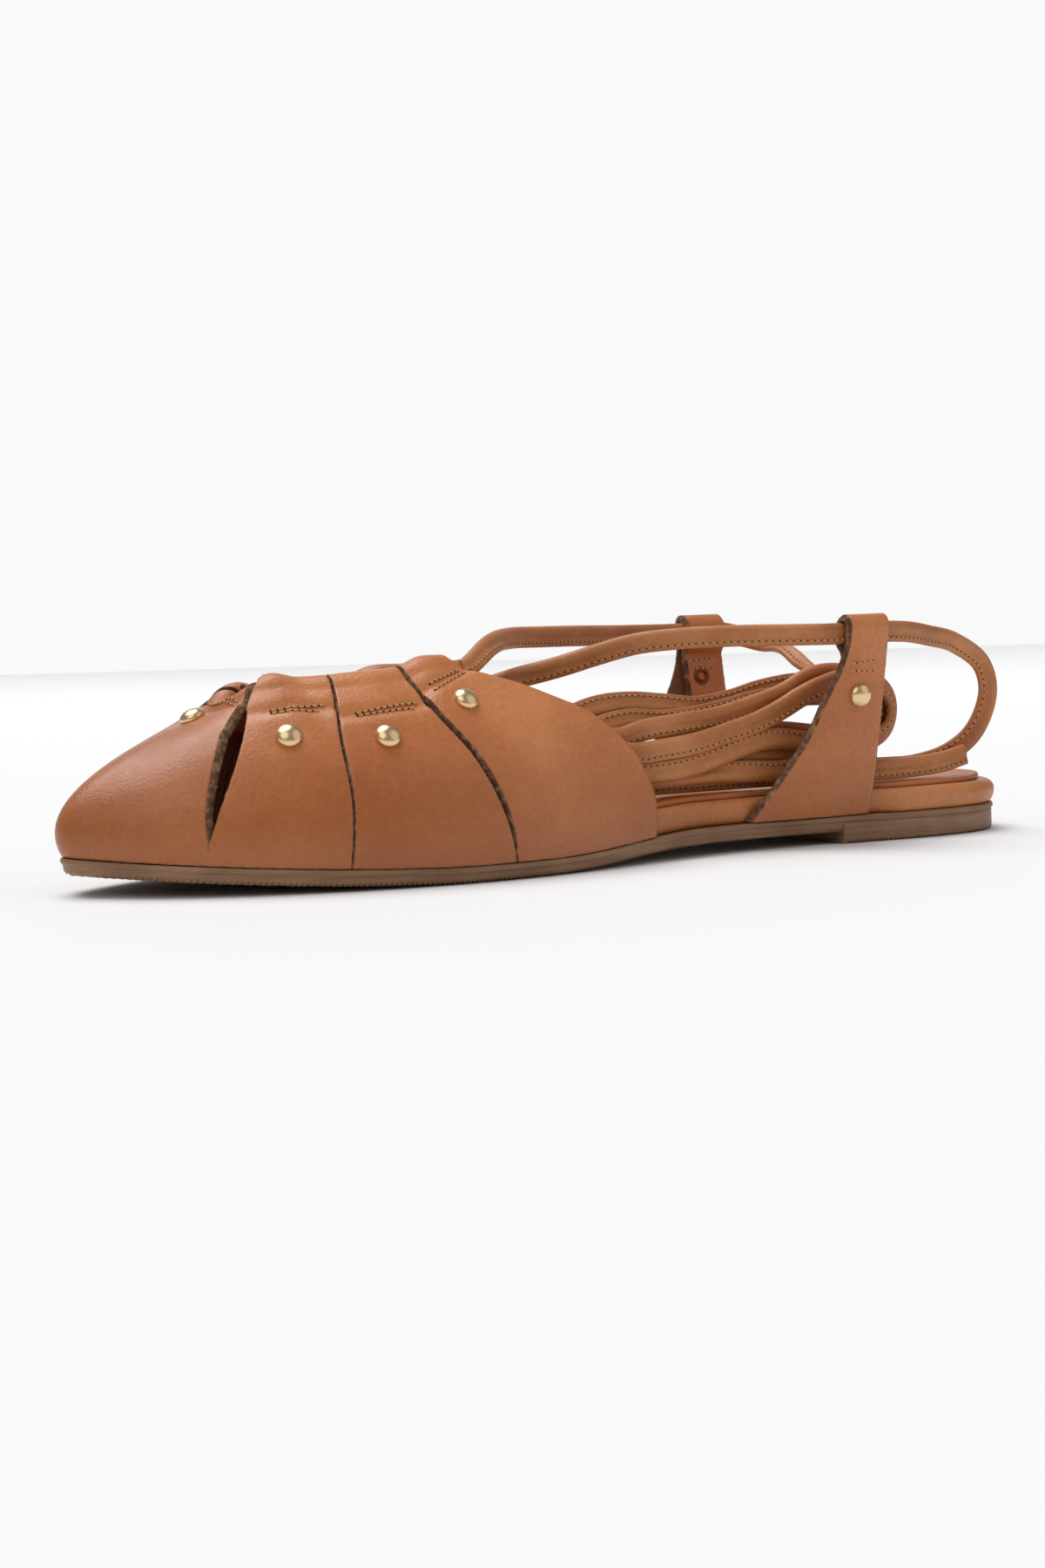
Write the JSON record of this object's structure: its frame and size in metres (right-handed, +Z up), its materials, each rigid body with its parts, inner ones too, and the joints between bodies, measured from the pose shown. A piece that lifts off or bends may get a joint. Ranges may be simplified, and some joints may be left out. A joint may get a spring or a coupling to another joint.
{
  "type": "lace-up sandal",
  "caption": "Flat lace-up sandal for a left foot: slit leather vamp whose folded fingers carry a leather tie, two heel straps with lace loops, thin rubber sole.",
  "frame": {"origin": "on the floor under the middle of the heel, 28 mm ahead of the heel's back end", "axes": "+X along the shoe to the toe, +Y to the wearer's left, which is the lateral side, +Z up from the floor"},
  "size_m": [0.253, 0.0773, 0.0563],
  "materials": {
    "outsole_rubber": "matt, taupe brown",
    "tan_leather": "smooth tan with a soft sheen, darker at cut edges",
    "sock_leather": "smooth, slightly redder tan",
    "stud_brass": "polished domes",
    "lace_leather": "folded and stitched strip, soft sheen"
  },
  "bodies": {
    "root": {"outsole": "outsole_rubber", "platform": "tan_leather", "sock": "sock_leather", "upper": "tan_leather", "heel_strap_lateral": "tan_leather", "heel_strap_medial": "tan_leather", "stud_toe": "stud_brass", "stud_lateral_front": "stud_brass", "stud_lateral_middle": "stud_brass", "stud_lateral_rear": "stud_brass", "stud_lateral_strap": "stud_brass", "stud_medial_front": "stud_brass", "stud_medial_middle": "stud_brass", "stud_medial_rear": "stud_brass", "stud_medial_strap": "stud_brass", "lace_in_tunnels": "lace_leather", "lace_lateral_tie": "lace_leather", "lace_medial_tie": "lace_leather", "lace_end": "lace_leather", "lace_hank": "lace_leather"}
  },
  "joints": []
}
